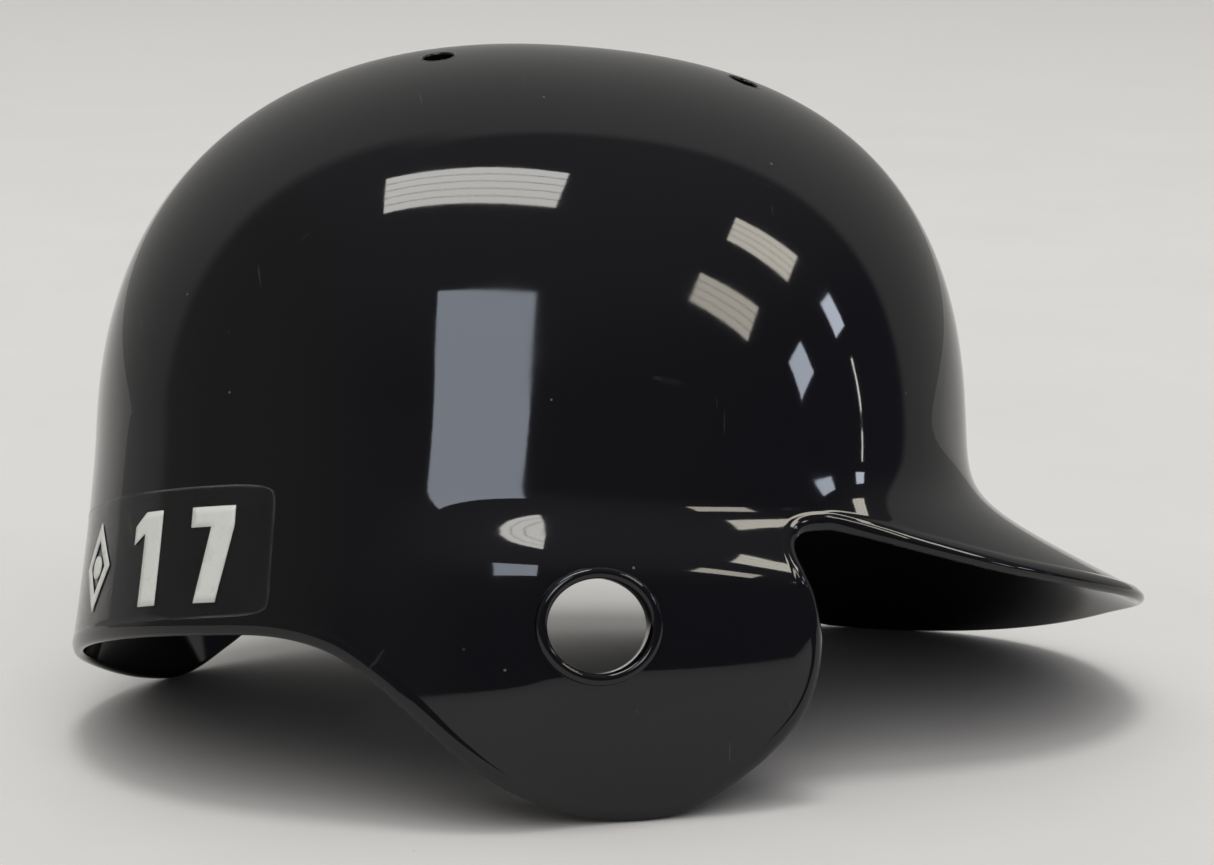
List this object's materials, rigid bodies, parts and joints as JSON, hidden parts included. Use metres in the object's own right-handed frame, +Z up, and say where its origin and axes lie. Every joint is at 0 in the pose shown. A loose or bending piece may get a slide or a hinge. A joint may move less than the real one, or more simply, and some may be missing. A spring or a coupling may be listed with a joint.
{
  "type": "batting helmet",
  "caption": "One-flap batting helmet with a bill, vented crown and padded inside, lying on its open side as put down on a table.",
  "frame": {"origin": "centre of the bounding box on the table the helmet lies on", "axes": "+X forward towards the bill, +Z up from the table; the helmet is rolled onto its open left side, so its crown leans to +Y"},
  "size_m": [0.3056, 0.2206, 0.1886],
  "materials": {
    "shell": "high-gloss black moulding with fine scratches",
    "foam_liner": "matt closed-cell foam",
    "pad_cloth": "soft knitted face over comfort foam",
    "hook_patch": "hook-and-loop tape",
    "white_vinyl": "cut adhesive vinyl, satin",
    "clear_film": "thin clear adhesive film, glossy"
  },
  "bodies": {
    "root": {"outer_shell": "shell", "front_liner": "foam_liner", "front_pad": "pad_cloth", "front_hook_patch_a": "hook_patch", "front_hook_patch_b": "hook_patch", "left_liner": "foam_liner", "left_pad": "pad_cloth", "left_hook_patch_a": "hook_patch", "left_hook_patch_b": "hook_patch", "rear_liner": "foam_liner", "rear_pad": "pad_cloth", "rear_hook_patch_a": "hook_patch", "rear_hook_patch_b": "hook_patch", "right_liner": "foam_liner", "right_pad": "pad_cloth", "right_hook_patch_a": "hook_patch", "right_hook_patch_b": "hook_patch", "crown_liner": "foam_liner", "crown_pad": "pad_cloth", "crown_hook_patch_a": "hook_patch", "crown_hook_patch_b": "hook_patch", "ear_liner": "foam_liner", "ear_pad": "pad_cloth", "number_digit_one": "white_vinyl", "number_digit_seven": "white_vinyl", "emblem_diamond": "white_vinyl", "emblem_ball": "white_vinyl", "clear_film": "clear_film"}
  },
  "joints": []
}
